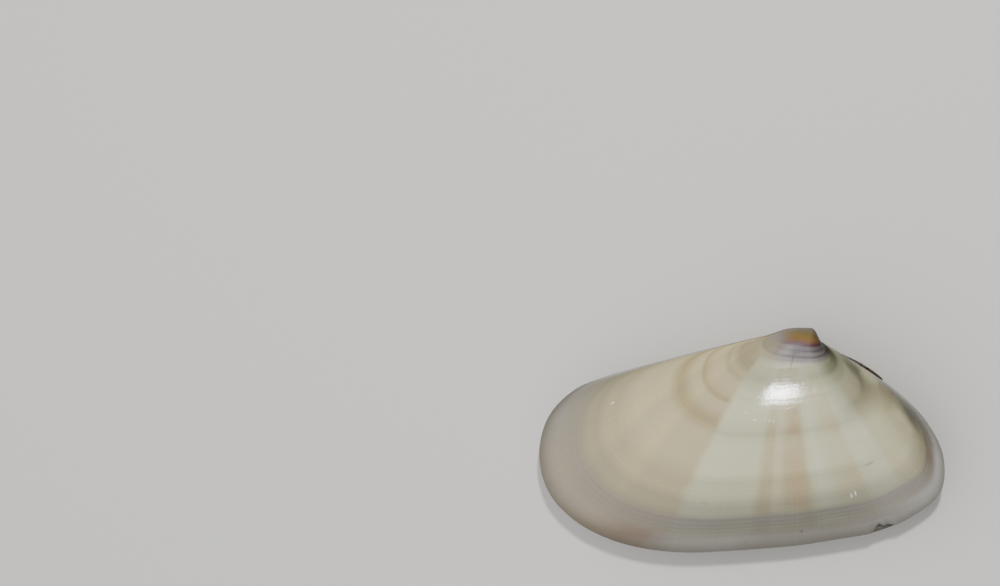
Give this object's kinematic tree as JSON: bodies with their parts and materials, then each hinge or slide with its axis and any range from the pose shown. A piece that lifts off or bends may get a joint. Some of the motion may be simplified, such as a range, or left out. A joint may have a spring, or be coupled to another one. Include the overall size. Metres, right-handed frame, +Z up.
{
  "type": "wedge clam shell",
  "caption": "Whole closed wedge clam shell: two long smooth hinged valves with low beaks, a short brown ligament and a fine dark growth banding, lying on its right valve.",
  "frame": {"origin": "under the middle of the shell's box, on the surface it lies on", "axes": "+X to the short rear end, +Y to the hinge and beaks, +Z up, out of the left valve"},
  "size_m": [0.036, 0.02, 0.0095],
  "materials": {
    "left_shell": "smooth and glossy, cream and peach with violet-grey and tan growth bands",
    "right_shell": "smooth and glossy, peach with broad white rays and grey-violet growth bands",
    "ligament_horn": "dark brown, horny and shiny"
  },
  "bodies": {
    "root": {"left_valve": "left_shell", "right_valve": "right_shell", "ligament": "ligament_horn"}
  },
  "joints": []
}
